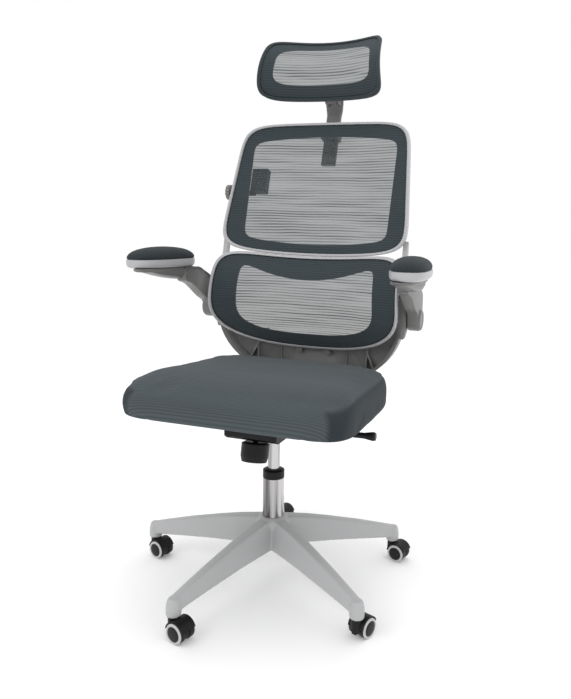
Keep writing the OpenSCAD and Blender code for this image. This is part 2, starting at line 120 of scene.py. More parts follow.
# Camera
CAMERA_PLACE = (0.5921, -1.4091, 0.8368)
CAMERA_TURN = (18.752, 9.786, 1.507)
CAMERA_LENS = 34.596
CAMERA_SHIFT = (-0.0526, -0.0075)

FLOOR_HALF = 30


# ---- Materials ----

class Nodes:
    """A material's node tree, built a node at a time."""

    def __init__(self, name):
        self.material = bpy.data.materials.new(name)
        self.material.use_nodes = True
        self.tree = self.material.node_tree
        self.shader = self.tree.nodes["Principled BSDF"]

    def add(self, kind, props=None, **inputs):
        node = self.tree.nodes.new("ShaderNode" + kind)
        for key, value in (props or {}).items():
            setattr(node, key, value)
        for key, value in inputs.items():
            self.plug(node, key, value)
        return node

    def plug(self, node, key, value):
        socket = node.inputs[int(key[1:])] if key[0] == "_" else node.inputs[key.replace("_", " ")]
        if isinstance(value, bpy.types.NodeSocket):
            self.tree.links.new(value, socket)
        else:
            socket.default_value = value

    def math(self, operation, a, b=0.0):
        return self.add("Math", {"operation": operation}, _0=a, _1=b).outputs[0]

    def noise(self, scale, detail=3.0, roughness=0.5, stretch=(1, 1, 1)):
        place = self.add("TexCoord").outputs["Object"]
        mapped = self.add("Mapping", Vector=place, Scale=stretch).outputs[0]
        noise = self.add("TexNoise", Vector=mapped, Scale=scale, Detail=detail, Roughness=roughness)
        return noise.outputs["Fac"]

    def between(self, factor, dark, light):
        mix = self.add("Mix", {"data_type": "RGBA"}, Factor=factor)
        mix.inputs[6].default_value = (*dark, 1)
        mix.inputs[7].default_value = (*light, 1)
        return mix.outputs[2]

    def blended(self, factor, a, b):
        mix = self.add("Mix", {"data_type": "RGBA"}, Factor=factor)
        self.tree.links.new(a, mix.inputs[6])
        self.tree.links.new(b, mix.inputs[7])
        return mix.outputs[2]

    def ripple(self, length, pitch):
        """Wave from 0 to 1 that repeats every pitch of the given length."""
        phase = self.math("MULTIPLY", length, 2 * math.pi / pitch)
        wave = self.spread(self.math("SINE", phase), 0, 1)
        wave.node.inputs["From Min"].default_value = -1
        return wave

    def bump(self, height, strength, distance):
        bump = self.add("Bump", Height=height, Strength=strength, Distance=distance)
        self.plug(self.shader, "Normal", bump.outputs[0])

    def spread(self, value, low, high):
        span = self.add("MapRange", Value=value, To_Min=low, To_Max=high)
        return span.outputs[0]


def scaled(colour, factor):
    return tuple(min(1.0, c * factor) for c in colour)


def plastic(name, colour, rough=0.45, grain=900, grain_depth=0.00012, contrast=0.10, specular=0.5, coat=0.0):
    """Moulded plastic: fine spark-eroded grain and slow changes of tone and gloss."""
    n = Nodes(name)
    tone = n.between(n.noise(9, 4), scaled(colour, 1 - contrast), scaled(colour, 1 + contrast))
    n.plug(n.shader, "Base Color", tone)
    n.plug(n.shader, "Roughness", n.spread(n.noise(60, 5), rough - 0.06, rough + 0.08))
    n.shader.inputs["Specular IOR Level"].default_value = specular
    n.shader.inputs["Coat Weight"].default_value = coat
    n.shader.inputs["Coat Roughness"].default_value = 0.25
    n.bump(n.noise(grain, 2), 0.35, grain_depth)
    return n.material


def metal(name, dark, light, rough, streak, fine):
    """Drawn metal: broad upright streaks of tone over fine lengthwise polishing marks."""
    n = Nodes(name)
    broad = n.spread(n.noise(streak, 2, stretch=(1, 1, 0.015)), 0, 1)
    broad.node.inputs["From Min"].default_value = 0.38
    broad.node.inputs["From Max"].default_value = 0.66
    marks = n.noise(fine, 3, stretch=(1, 1, 0.02))
    tone = n.math("ADD", n.math("MULTIPLY", broad, 0.8), n.math("MULTIPLY", marks, 0.2))
    n.plug(n.shader, "Base Color", n.between(tone, dark, light))
    n.shader.inputs["Metallic"].default_value = 1.0
    n.plug(n.shader, "Roughness", n.spread(marks, rough * 0.7, rough * 1.4))
    n.bump(marks, 0.08, 0.0001)
    return n.material


def ribbed_fabric(name, colour, pitch=0.0031, depth=0.0006, side=None, contrast=0.16):
    """Woven cloth: ribs that follow the attribute rib, a length in metres, with fine cross threads.

    Where side is given, the seat's side-panel attribute fades the colour to it: the side panels' own darker
    cloth with painted shade on top.
    """
    n = Nodes(name)
    along = n.add("Attribute", {"attribute_name": "rib"}).outputs["Fac"]
    wobble = n.math("MULTIPLY", n.noise(30, 2), 0.0007)
    wave = n.ripple(n.math("ADD", along, wobble), pitch)
    threads = n.noise(1500, 2, stretch=(1, 0.25, 0.25))
    uneven = n.noise(26, 3, stretch=(0.12, 1, 1))
    lit = n.math("ADD", n.math("MULTIPLY", wave, 0.45), n.math("MULTIPLY", threads, 0.25))
    lit = n.math("ADD", lit, n.math("MULTIPLY", uneven, 0.4))
    low, high = 1 - 2.4 * contrast, 1 + 2 * contrast
    tone = n.between(lit, scaled(colour, low), scaled(colour, high))
    # The side panels fade to a darker cloth that also carries painted shade
    if side is not None:
        panel = n.add("Attribute", {"attribute_name": "panel"}).outputs["Fac"]
        tone = n.blended(panel, tone, n.between(lit, scaled(side, low), scaled(side, high)))
    n.plug(n.shader, "Base Color", tone)
    n.shader.inputs["Roughness"].default_value = 0.92
    n.shader.inputs["Specular IOR Level"].default_value = 0.15
    n.shader.inputs["Sheen Weight"].default_value = 0.06
    n.shader.inputs["Sheen Roughness"].default_value = 0.5
    height = n.math("ADD", n.math("MULTIPLY", wave, 0.8), n.math("MULTIPLY", threads, 0.2))
    n.bump(height, 0.6, depth)
    return n.material


def open_mesh(name, colour, pitch=0.0072):
    """Open mesh: dark cross threads in rows on a net fine enough to look like tinted film."""
    n = Nodes(name)
    along = n.add("Attribute", {"attribute_name": "rib"}).outputs["Fac"]
    drift = n.math("MULTIPLY", n.noise(9, 3, stretch=(0.5, 1, 1)), 0.012)
    wave = n.ripple(n.math("ADD", along, drift), pitch)
    fine = n.ripple(along, pitch * 0.37)
    row = n.spread(n.noise(40, 3, stretch=(0.10, 0.4, 2.4)), 0.0, 1.0)
    row.node.inputs["From Min"].default_value = 0.35
    row.node.inputs["From Max"].default_value = 0.65
    thread = n.math("MULTIPLY", n.math("POWER", wave, 2.0), n.spread(row, 0.25, 1.0))
    cover = n.math("ADD", n.math("MULTIPLY", thread, 0.34), n.math("MULTIPLY", fine, 0.05))
    cover = n.math("ADD", cover, 0.62)
    n.plug(n.shader, "Base Color", n.between(row, scaled(colour, 1.2), scaled(colour, 0.8)))
    n.shader.inputs["Roughness"].default_value = 0.8
    n.shader.inputs["Specular IOR Level"].default_value = 0.2
    n.plug(n.shader, "Alpha", cover)
    n.bump(wave, 0.5, 0.0006)
    return n.material


def build_materials():
    return {
        "nylon": plastic("nylon_grey", NYLON, 0.42, contrast=0.04),
        "shell": plastic("shell_grey", SHELL, 0.40, contrast=0.08, coat=0.08),
        "rim": plastic("rim_grey", RIM, 0.34, contrast=0.04, coat=0.12),
        "black": plastic("black_plastic", BLACK, 0.45, contrast=0.2, specular=0.22),
        "wheel": plastic("wheel_black", BLACK, 0.42, contrast=0.2, specular=0.25),
        "ring": plastic("wheel_ring", scaled(RIM, 1.15), 0.35, contrast=0.04),
        "chrome": metal("chrome", CHROME_DARK, CHROME_LIGHT, 0.16, 55, 700),
        "steel": metal("steel", scaled(STEEL, 0.6), STEEL, 0.30, 120, 900),
        "seat": ribbed_fabric("seat_fabric", SLATE, pitch=0.0068, depth=0.0008, side=SLATE_SIDE_AND_SHADE),
        "pad": ribbed_fabric("pad_fabric", PAD_SLATE, pitch=0.0016, depth=0.0002),
        "border": ribbed_fabric("border_fabric", SLATE_DARK, pitch=0.0062, depth=0.0004),
        # Black cloth for the band by each rim: painted shade where the rim's shadow falls on the sheet
        "gap": ribbed_fabric("rim_shade_fabric", BLACK, pitch=0.0031, depth=0.0002),
        "window": open_mesh("window_mesh", MESH),
    }


# ---- Mesh helpers ----

def angles(count):
    return [2 * math.pi * i / count for i in range(count)]


def new_object(name, points, faces):
    mesh = bpy.data.meshes.new(name)
    mesh.from_pydata([tuple(p) for p in points], [], faces)
    mesh.validate()
    obj = bpy.data.objects.new(name, mesh)
    bpy.context.scene.collection.objects.link(obj)
    return obj


def outward(obj):
    """Turns a closed mesh's faces outward and merges doubled points."""
    work = bmesh.new()
    work.from_mesh(obj.data)
    bmesh.ops.remove_doubles(work, verts=work.verts, dist=1e-6)
    bmesh.ops.recalc_face_normals(work, faces=work.faces)
    work.to_mesh(obj.data)
    work.free()
    return obj


def apply_modifiers(obj):
    bpy.context.view_layer.update()
    shaped = bpy.data.meshes.new_from_object(obj.evaluated_get(bpy.context.evaluated_depsgraph_get()))
    obj.modifiers.clear()
    obj.data = shaped
    return obj


def with_modifier(obj, kind, **settings):
    modifier = obj.modifiers.new(kind.lower(), kind)
    for key, value in settings.items():
        setattr(modifier, key, value)
    return apply_modifiers(obj)


def smooth(obj, angle=None):
    for polygon in obj.data.polygons:
        polygon.use_smooth = True
    if angle is not None:
        obj.data.set_sharp_from_angle(angle=math.radians(angle))
    return obj


def join(name, parts):
    """One object out of several, keeping each part's materials."""
    work = bmesh.new()
    materials = []
    for part in parts:
        start = len(work.faces)
        part.data.transform(part.matrix_world)
        work.from_mesh(part.data)
        work.faces.ensure_lookup_table()
        own = list(part.data.materials)
        for face in work.faces[start:]:
            if own:
                material = own[min(face.material_index, len(own) - 1)]
                if material not in materials:
                    materials.append(material)
                face.material_index = materials.index(material)
        bpy.data.objects.remove(part)
    mesh = bpy.data.meshes.new(name)
    work.to_mesh(mesh)
    work.free()
    for material in materials:
        mesh.materials.append(material)
    obj = bpy.data.objects.new(name, mesh)
    bpy.context.scene.collection.objects.link(obj)
    return obj


def copied(node, name):
    obj = bpy.data.objects.new(name, frame["nodes"][node].data.copy())
    bpy.context.scene.collection.objects.link(obj)
    obj.data.materials.clear()
    return outward(obj)


def voxelled(obj, size, rounds):
    """Fuses overlapping solids into one skin and rounds its edges off."""
    with_modifier(obj, "REMESH", mode="VOXEL", voxel_size=size)
    with_modifier(obj, "SMOOTH", factor=0.5, iterations=rounds)
    return smooth(obj)


def bevelled(obj, width, segments=3, angle=28):
    with_modifier(obj, "BEVEL", width=width, segments=segments, limit_method="ANGLE",
                  angle_limit=math.radians(angle), harden_normals=False)
    return smooth(obj, 40)


def loft(name, loops, close_ends=True):
    """Skin over loops of equally many points."""
    count = len(loops[0])
    faces = [
        (j * count + i, j * count + (i + 1) % count, (j + 1) * count + (i + 1) % count, (j + 1) * count + i)
        for j in range(len(loops) - 1) for i in range(count)
    ]
    if close_ends:
        faces.append(tuple(range(count - 1, -1, -1)))
        faces.append(tuple((len(loops) - 1) * count + i for i in range(count)))
    return outward(new_object(name, [p for loop in loops for p in loop], faces))


def ring(name, stations):
    """Closed ring through stations of equally many points."""
    return loft(name, [*stations, stations[0]], close_ends=False)


def lathe(name, profile, segments=64, place=None):
    """Turned solid: profile of (radius, height) points round local Z."""
    loops = [
        [Vector((r * math.cos(a), r * math.sin(a), z)) for a in angles(segments)]
        for r, z in ((max(r, AXIS_GAP), z) for r, z in profile)
    ]
    obj = loft(name, loops)
    if place is not None:
        obj.data.transform(place)
    return obj


def dress(obj, body, slot, *materials, replaces=()):
    """Gives a piece its materials and body, and hides the CAD nodes it replaces; slot is not used."""
    if materials:
        obj.data.materials.clear()
        for material in materials:
            obj.data.materials.append(material)
    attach(obj, body)
    if replaces:
        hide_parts(*replaces)
    return obj


def set_attribute(obj, name, values):
    attribute = obj.data.attributes.new(name, "FLOAT", "POINT")
    attribute.data.foreach_set("value", values)


# ---- Panel shapes, as in the CAD ----

def ring_point(t, a, b, exponents):
    c, s = math.cos(t), math.sin(t)
    e = exponents[0] if s >= 0 else exponents[1]
    reach = ((abs(c) / a) ** e + (abs(s) / b) ** e) ** (1 / e)
    return c / reach, s / reach


def outline(p, t, inset=0.0):
    x, z = ring_point(t, p.half_width - inset, p.half_height - inset, p.corners)
    side = 1 - (x / p.half_width) ** 2
    arch = p.top_arch * z / p.half_height if z > 0 else -p.bottom_arch * z / p.half_height
    return x * (1 - p.taper * z / p.half_height), p.middle + z + arch * side


def surface_y(p, x, z):
    dz = z - p.middle
    return p.side_y + p.slope * dz + p.curve * dz * dz + p.bow * (1 - (x / p.half_width) ** 2)


def panel_point(p, xz, depth):
    return Vector((xz[0], surface_y(p, *xz) + depth, xz[1])) * MM


def arc_length(p, z):
    """Length along the panel's middle profile from its middle height to z, in metres."""
    steps = 12
    total = 0.0
    for i in range(steps):
        dz = (z - p.middle) / steps
        slope = p.slope + 2 * p.curve * dz * (i + 0.5)
        total += dz * math.sqrt(1 + slope * slope)
    return total * MM


def rim_section(depth):
    """Rounded section of a rim as (inset, depth) points, in millimetres."""
    half = RIM_WIDE / 2
    steps = 8
    front = [
        (half - half * math.cos(a), -1.0 - 3.0 * math.sin(a))
        for a in (math.pi * i / steps for i in range(steps + 1))
    ]
    back = [(RIM_WIDE, 3.4), (5.5, 7.0), (5.0, depth - 1.0), (4.0, depth), (1.2, depth)]
    return [(0.0, depth - 1.5), *front, *back]


def panel_rim(name, p, count=200):
    section = rim_section(p.rim_depth)
    return smooth(ring(name, [
        [panel_point(p, outline(p, t, inset), depth) for inset, depth in section]
        for t in angles(count)
    ]), 60)


def panel_flange(name, p, window, count=160):
    """Flat flange between the rim and the window, behind the sheet."""
    stations = []
    for t in angles(count):
        near, far = outline(p, t, FLANGE_INSET), outline(window, t)
        edge = (far[0] * 0.985 + near[0] * 0.015, far[1] * 0.985 + near[1] * 0.015)
        section = [(near, 3), (edge, 3), (far, 4.2), (far, 5.2), (edge, 6.2), (near, 6.2)]
        stations.append([panel_point(p, xz, depth) for xz, depth in section])
    return smooth(ring(name, stations), 50)


def panel_cloth(name, p, window, materials, count=160):
    """Stretched sheet: a black band painted as shade by the rim, an opaque woven border and an open window.
    """
    border_steps, window_steps = 10, 22
    # Share of the border painted black as the rim's shade
    rim_shade_share = 0.045
    loops = []
    for share in [0, rim_shade_share, *(k / (border_steps - 1) for k in range(1, border_steps))]:
        loops.append([
            tuple(a + (b - a) * share for a, b in zip(outline(p, t, CLOTH_INSET), outline(window, t)))
            for t in angles(count)
        ])
    for k in range(1, window_steps):
        share = 1 - k / window_steps
        loops.append([
            (window_x * share, window.middle + (window_z - window.middle) * share)
            for window_x, window_z in (outline(window, t) for t in angles(count))
        ])
    flat = [xz for loop in loops for xz in loop]
    points = [panel_point(p, xz, SHEET_DEPTH) for xz in flat]
    faces = [
        (j * count + i, (j + 1) * count + i, (j + 1) * count + (i + 1) % count, j * count + (i + 1) % count)
        for j in range(len(loops) - 1) for i in range(count)
    ]
    centre = len(points)
    points.append(panel_point(p, (0, window.middle), SHEET_DEPTH))
    last = (len(loops) - 1) * count
    faces += [(last + i, centre, last + (i + 1) % count) for i in range(count)]
    obj = new_object(name, points, faces)
    for look in ("border", "window", "gap"):
        obj.data.materials.append(materials[look])
    # The first band is black cloth, painted shade where the rim stands proud of the sheet
    border, window_slot, gap = range(3)
    for index, polygon in enumerate(obj.data.polygons):
        if index < count:
            polygon.material_index = gap
        elif index < border_steps * count:
            polygon.material_index = border
        else:
            polygon.material_index = window_slot
    set_attribute(obj, "rib", [arc_length(p, z) for _, z in flat] + [arc_length(p, window.middle)])
    return smooth(obj)


# ---- Base ----

def leg_section(reach, top_half, bottom_half, top, bottom):
    """Section of a leg: flat top with rounded edges and sides that slope outward."""
    round_r = min(5.0, top_half * 0.5)
    slant = math.atan2(bottom_half - top_half, top - bottom)
    right = []
    for i in range(5):
        a = (math.pi / 2 - slant) * i / 4
        right.append((top_half - round_r + round_r * math.sin(a), top - round_r + round_r * math.cos(a)))
    right += [(bottom_half, bottom + 2.5), (bottom_half - 2, bottom)]
    left = [(-y, z) for y, z in reversed(right)]
    return [Vector((reach, y, z)) * MM for y, z in right + left]


def build_star(materials):
    """Star base: five tapered legs, their caster sockets and the hub, fused into one skin."""
    stations = [
        (6, 17, 34, 153, 88), (40, 16.5, 33, 151, 88), (90, 15, 28.5, 143.5, 84),
        (140, 13.5, 25, 133.5, 80), (220, 12, 20, 115, 71), (290, 11, 16, 96, 62.5),
        (318, 10.5, 14.5, 88, 59),
    ]
    socket = [
        (0, 48), (15.2, 48), (16, 49), (16, 66), (14.6, 76), (12.8, 83), (10.5, 86.2), (7, 87.2), (0, 87.2),
    ]
    parts = []
    for k in range(LEG_COUNT):
        turn = Matrix.Rotation(math.radians(BASE_TURN + 90 + k * 360 / LEG_COUNT), 4, "Z")
        leg = loft("leg", [leg_section(*station) for station in stations])
        leg.data.transform(turn)
        foot = lathe("foot", [(r * MM, z * MM) for r, z in socket], 40,
                     turn @ Matrix.Translation((LEG_REACH, 0, 0)))
        parts += [leg, foot]
    hub = [(0, 86), (38, 86), (40, 88), (40, 143), (36, 150), (30.5, 154.5), (28, 155.8), (0, 155.8)]
    parts.append(lathe("hub", [(r * MM, z * MM) for r, z in hub]))
    star = voxelled(join("star", parts), 0.0022, 7)
    dress(star, "base", "nylon_grey", materials["nylon"], replaces=["star_base"])


def caster_frame(k):
    """Placement of caster k's own axes: local X points the way it trails."""
    leg = math.radians(BASE_TURN + 90 + k * 360 / LEG_COUNT)
    stem = Vector((LEG_REACH * math.cos(leg), LEG_REACH * math.sin(leg), 0))
    return Matrix.Translation(stem) @ Matrix.Rotation(math.radians(CASTER_TRAILS[k]), 4, "Z")


def build_wheel(name, place, side, materials):
    """One wheel of a twin caster: black tread, pale ring and flat black cap."""
    tread = [
        (4.1, 6), (20.3, 6), (21.5, 6.8), (22, 8.5), (22, 16.5), (21.6, 18.2), (20.8, 18.8), (4.1, 18.8),
    ]
    band = [
        (16.8, 18), (21.2, 18), (21.7, 18.8), (21.5, 19.8), (20.7, 20.7), (19.4, 21.2), (18.0, 21.3),
        (17.2, 21.0),
    ]
    cap = [
        (0, 18), (17.1, 18), (17.1, 20.4), (16.6, 20.9), (14.5, 21.6), (10.0, 22.3), (5.0, 22.6), (0, 22.7),
    ]
    rows = (("tread", tread, "wheel"), ("band", band, "ring"), ("cap", cap, "wheel"))
    parts = []
    for part, profile, material in rows:
        piece = lathe(part, [(r * MM, z * MM) for r, z in profile], 56)
        piece.data.materials.append(materials[material])
        parts.append(piece)
    wheel = join(name, parts)
    axle = Matrix.Translation((CASTER_TRAIL, 0, WHEEL_R)) @ Matrix.Rotation(math.radians(-90 * side), 4, "X")
    wheel.data.transform(place @ axle)
    return smooth(wheel, 35)


def build_casters(materials):
    for k in range(LEG_COUNT):
        for letter, side in (("a", 1), ("b", -1)):
            number = k + 1
            wheel = build_wheel(f"caster_{number}_tyre_{letter}", caster_frame(k), side, materials)
            replaced = f"caster_{number}_wheel_{letter}"
            dress(wheel, f"wheel_{number}_{letter}", "wheel_plastic", replaces=[replaced])


# ---- Seat ----

def seat_outline(t, inset):
    half_width = SEAT_HALF_WIDTH + SEAT_OVERHANG - inset
    x, y = ring_point(t, half_width, SEAT_HALF_DEPTH - inset, SEAT_CORNERS)
    return x * (1 - SEAT_NARROWING * (y / SEAT_HALF_DEPTH + 1) / 2), y


def front_drop(y):
    return max(0.0, (-y / SEAT_HALF_DEPTH - 0.35) / 0.65) ** 2


# Levels of the cushion from its bottom to its crown: inset, height, how far the front edge drops
SEAT_LEVELS = [
    (16, 1, 0), (8, 3, 0), (3.5, 12, 0), (1.5, 30, 4), (3, 52, 14), (7, 66, 20), (15, 76, 24),
    (26, 81.5, 26), (45, 85.5, 28), (75, 88, 29), (110, 89, 30), (150, 89.4, 30), (195, 89.6, 30),
]


def seat_point(t, level):
    """Point of the cushion at angle t; level counts along SEAT_LEVELS and may fall between two."""
    low = min(int(level), len(SEAT_LEVELS) - 2)
    share = level - low
    inset, z, drop = (a + (b - a) * share for a, b in zip(SEAT_LEVELS[low], SEAT_LEVELS[low + 1]))
    x, y = seat_outline(t, inset)
    return SEAT_PLACE @ (Vector((x, y, z - drop * front_drop(y))) * MM)


def swell(obj, pressure, frames, cap, pinned):
    """Blows a pad up with a cloth simulation, and holds each point within cap of where it was."""
    scene = bpy.context.scene
    rest = [v.co.copy() for v in obj.data.vertices]
    group = obj.vertex_groups.new(name="held")
    group.add([i for i, co in enumerate(rest) if pinned(co)], 1.0, "REPLACE")
    cloth = obj.modifiers.new("cloth", "CLOTH")
    cloth.settings.vertex_group_mass = "held"
    cloth.settings.use_pressure = True
    cloth.settings.uniform_pressure_force = pressure
    cloth.settings.effector_weights.gravity = 0
    cloth.point_cache.frame_start = 1
    cloth.point_cache.frame_end = frames
    for number in range(1, frames + 1):
        scene.frame_set(number)
    shaped = obj.evaluated_get(bpy.context.evaluated_depsgraph_get()).data
    moved = [v.co.copy() for v in shaped.vertices]
    obj.modifiers.clear()
    scene.frame_set(1)
    for vertex, old, new in zip(obj.data.vertices, rest, moved):
        step = new - old
        if step.length > cap:
            step *= cap / step.length
        vertex.co = old + step
    return obj


def seat_rib_length(co):
    """Length from the cushion's rear edge over the top and down the front, in metres."""
    local = SEAT_PLACE.inverted() @ co
    back_run = 0.242 - local.y
    over = max(0.0, -local.y - 0.17)
    below = max(0.0, 0.062 - local.z)
    return back_run + over * 0.6 + below * min(1.0, over / 0.05)


def groove(obj, path, depth, width):
    """Presses a line into a mesh along its normals, or raises it where depth is negative."""
    tree = KDTree(len(path))
    for i, point in enumerate(path):
        tree.insert(point, i)
    tree.balance()
    for vertex in obj.data.vertices:
        _, _, gap = tree.find(vertex.co)
        if gap < 3 * width:
            vertex.co -= vertex.normal * depth * math.exp(-(gap / width) ** 2)


def seam_path(side, level):
    """The seam between the seat's top and side panels: along the edge, then down the front corner."""
    rear, corner = math.radians(40), math.radians(-46)
    run, fall = 150, 60
    path = [(rear + (corner - rear) * i / run, level) for i in range(run + 1)]
    for i in range(1, fall + 1):
        share = i / fall
        path.append((corner - math.radians(7) * math.sin(share * math.pi / 2), level * (1 - share)))
    return [seat_point(t if side > 0 else math.pi - t, height) for t, height in path]


def side_panel(obj):
    """Share of the side panels' darker cloth and painted shade at each point: 1 on the side panels, 0 on the
    top and front.
    """
    shares = []
    for vertex in obj.data.vertices:
        local = SEAT_PLACE.inverted() @ vertex.co
        angle = math.atan2(local.y / SEAT_HALF_DEPTH, abs(local.x) / SEAT_HALF_WIDTH)
        level = (0.074 - 0.020 * front_drop(local.y / MM) - local.z) / 0.006
        turn = (angle + math.radians(49)) / math.radians(2)
        shares.append(max(0.0, min(1.0, level)) * max(0.0, min(1.0, turn)))
    return shares


def build_seat(materials):
    """Seat cushion, swollen by a cloth simulation and then seamed."""
    levels = [k * 0.5 for k in range(2 * len(SEAT_LEVELS) - 1)]
    cushion = loft("seat_pad", [[seat_point(t, level) for t in angles(160)] for level in levels])
    with_modifier(cushion, "REMESH", mode="VOXEL", voxel_size=SEAT_VOXEL)
    swell(cushion, 4.0, 20, 0.005, lambda co: (SEAT_PLACE.inverted() @ co).z < 0.004)
    with_modifier(cushion, "SMOOTH", factor=0.5, iterations=6)
    with_modifier(cushion, "SUBSURF", levels=1, render_levels=1)
    for side in (1, -1):
        groove(cushion, seam_path(side, 6.5), -0.0018, 0.0030)
        groove(cushion, seam_path(side, 5.9), 0.0024, 0.0040)
    set_attribute(cushion, "rib", [seat_rib_length(v.co) for v in cushion.data.vertices])
    # Side panels: darker cloth with painted shade, since they face away from the light above
    set_attribute(cushion, "panel", side_panel(cushion))
    smooth(cushion)
    dress(cushion, "seat", "slate_fabric", materials["seat"], replaces=["seat_cushion"])


# ---- Arms ----

def pad_outline(t, inset):
    return ring_point(t, PAD_HALF[0] - inset, PAD_HALF[1] - inset, (2.8, 2.8))


def pad_top_point(x, y, z):
    """Point of the arm cushion, which is thinner towards its two ends."""
    fullness = 0.68 + 0.38 * (1 - (y / PAD_HALF[1]) ** 2)
    return Vector((x, y, PAD_BOTTOM + (z - PAD_BOTTOM) * fullness)) * MM


def curve(points, steps=6):
    """Smooth open curve through points (Catmull-Rom)."""
    ends = [points[0], *points, points[-1]]
    path = []
    for a, b, c, d in zip(ends, ends[1:], ends[2:], ends[3:]):
        for i in range(steps):
            t = i / steps
            point = []
            for p, q, r, s in zip(a, b, c, d):
                square = 2 * p - 5 * q + 4 * r - s
                cube = 3 * q - p - 3 * r + s
                point.append(0.5 * (2 * q + (r - p) * t + square * t * t + cube * t ** 3))
            path.append(tuple(point))
    return [*path, points[-1]]


def pocketed(obj, axis, margin, depth):
    """Insets the large flat face that looks along axis and presses it in, which leaves a raised border."""
    work = bmesh.new()
    work.from_mesh(obj.data)
    direction = Vector(axis)
    facing = [f for f in work.faces if f.normal.dot(direction) > 0.99]
    face = max(facing, key=lambda f: f.calc_area())
    bmesh.ops.inset_region(work, faces=[face], thickness=margin, depth=-depth)
    work.to_mesh(obj.data)
    work.free()
    return obj


def strut_outline():
    """Side outline of an arm's strut as (y, z) points in millimetres, from the boss up and back again."""
    y, z = HINGE[0] / MM, HINGE[1] / MM
    front = curve([(y - BOSS_R, z + 2), (y - 34, z + 18), (150, 655), (96, 688), (62, 699), (56, 708)])
    top = [(56, 730), (62, 733), (121, 733), (134, 730)]
    rear = curve([(140, 727), (190, 706), (236, 686), (y + 26.5, 660), (y + BOSS_R, z + 4)])
    turn = [math.pi * i / 16 for i in range(17)]
    boss = [(y + BOSS_R * math.cos(a), z - BOSS_R * math.sin(a)) for a in turn]
    return front + top + rear + boss


def build_strut(side):
    """Strut from the hinge up to the pad, with a pocket in its inner face."""
    loops = [[Vector((side * x, y * MM, z * MM)) for y, z in strut_outline()] for x in STRUT_SIDES]
    strut = pocketed(loft("strut", loops), (-side, 0, 0), 0.0055, 0.006)
    return bevelled(strut, 0.0022, 3, 35)


def keel_loop(side, y, half, deep):
    """Section of the keel at y: nearly square upper corners and rounded lower ones."""
    lean = max(0.0, min(1.0, (y + 99) / 160))
    centre = KEEL_CENTRE - 0.002 * lean
    corner = min(half, deep) * 0.55
    loop = []
    for cx, cz, start in ((half, -deep, -90), (half, 0, 0), (-half, 0, 90), (-half, -deep, 180)):
        r = corner if cz < 0 else min(1.2, corner)
        for i in range(5):
            a = math.radians(start + 22.5 * i)
            px = cx - math.copysign(r, cx) + r * math.cos(a)
            pz = cz + (r if cz < 0 else -r) + r * math.sin(a)
            loop.append(Vector((side * (centre + px * MM), y * MM, KEEL_TOP + pz * MM)))
    return loop


def build_keel(side):
    """Boat-shaped beam under the arm pad."""
    stations = [
        (-99, 6, 1.5), (-90, 12, 4), (-60, 19, 10), (-20, 23, 19), (20, 25.5, 26), (60, 26, 31),
        (95, 24, 26), (116, 20, 14), (122, 16, 6),
    ]
    return smooth(loft("keel", [keel_loop(side, *station) for station in stations]), 50)


def build_ledge(side):
    """Flat plate between the keel and the pad's tray."""
    levels = [(26, 98, 726.5), (28.5, 101, 727.5), (30, 103, 730), (29.5, 102.5, 734.4)]
    centre_x, centre_y = LEDGE_CENTRE
    loops = []
    for half_width, half_length, z in levels:
        around = (ring_point(t, half_width, half_length, (3, 3)) for t in angles(64))
        loops.append([Vector((side * (centre_x + x * MM), centre_y + y * MM, z * MM)) for x, y in around])
    return smooth(loft("ledge", loops), 50)


def build_disc(side):
    """Round cap over the arm's hinge."""
    place = Matrix.Translation((side * DISC_X, HINGE[0], HINGE[1]))
    turn = Matrix.Rotation(math.radians(90 * side), 4, "Y")
    profile = [
        (0, 0), (25.4, 0), (25.4, 2.6), (24.2, 4.4), (22.4, 5.2), (20.6, 5.2), (20.0, 4.4), (0, 4.6),
    ]
    return smooth(lathe("disc", [(r * MM, z * MM) for r, z in profile], 56, place @ turn), 35)


def build_bracket(side, name, materials):
    """Arm bracket: strut, keel, ledge and hinge disc in one piece."""
    parts = [build_strut(side), build_keel(side), build_ledge(side), build_disc(side)]
    bracket = join("arm_bracket_" + name, parts)
    dress(bracket, f"arm_{name}", "shell_grey", materials["shell"], replaces=["arm_beam_" + name])


def build_arm(side, materials):
    """Arm on one side: cushion, tray and bracket."""
    name = "left" if side > 0 else "right"
    toe = Matrix.Rotation(math.radians(side * PAD_TOE), 4, "Z")
    place = Matrix.Translation((side * PAD_CENTRE[0], PAD_CENTRE[1], 0)) @ toe
    pad_levels = [
        (5, 755.4), (2.6, 756.5), (1.6, 760), (2.4, 764.5), (5, 769.5), (9, 773.5), (14, 776.8), (21, 779.6),
        (29, 781.4), (38, 782.2),
    ]
    pad = loft("arm_cushion_" + name, [
        [place @ pad_top_point(*pad_outline(t, inset), z) for t in angles(96)]
        for inset, z in pad_levels
    ])
    set_attribute(pad, "rib", [(place.inverted() @ v.co).x for v in pad.data.vertices])
    smooth(pad)
    dress(pad, f"arm_{name}", "slate_fabric", materials["pad"], replaces=["arm_pad_" + name])
    tray_levels = [
        (16, 735.2), (8, 735.6), (4, 737.2), (1.8, 740), (0.6, 744), (0.2, 750), (0.6, 754), (2, 755),
    ]
    tray = loft("arm_tray_" + name, [
        [place @ (Vector((*pad_outline(t, inset), z)) * MM) for t in angles(96)]
        for inset, z in tray_levels
    ])
    smooth(tray, 40)
    dress(tray, f"arm_{name}", "rim_grey", materials["rim"], replaces=["arm_pad_base_" + name])
    build_bracket(side, name, materials)


# ---- Back and headrest ----

def build_cloth(label, p, window, body, materials):
    cloth = panel_cloth(label + "_cloth", p, window, materials)
    dress(cloth, body, "mesh_fabric", replaces=[label + "_mesh"])


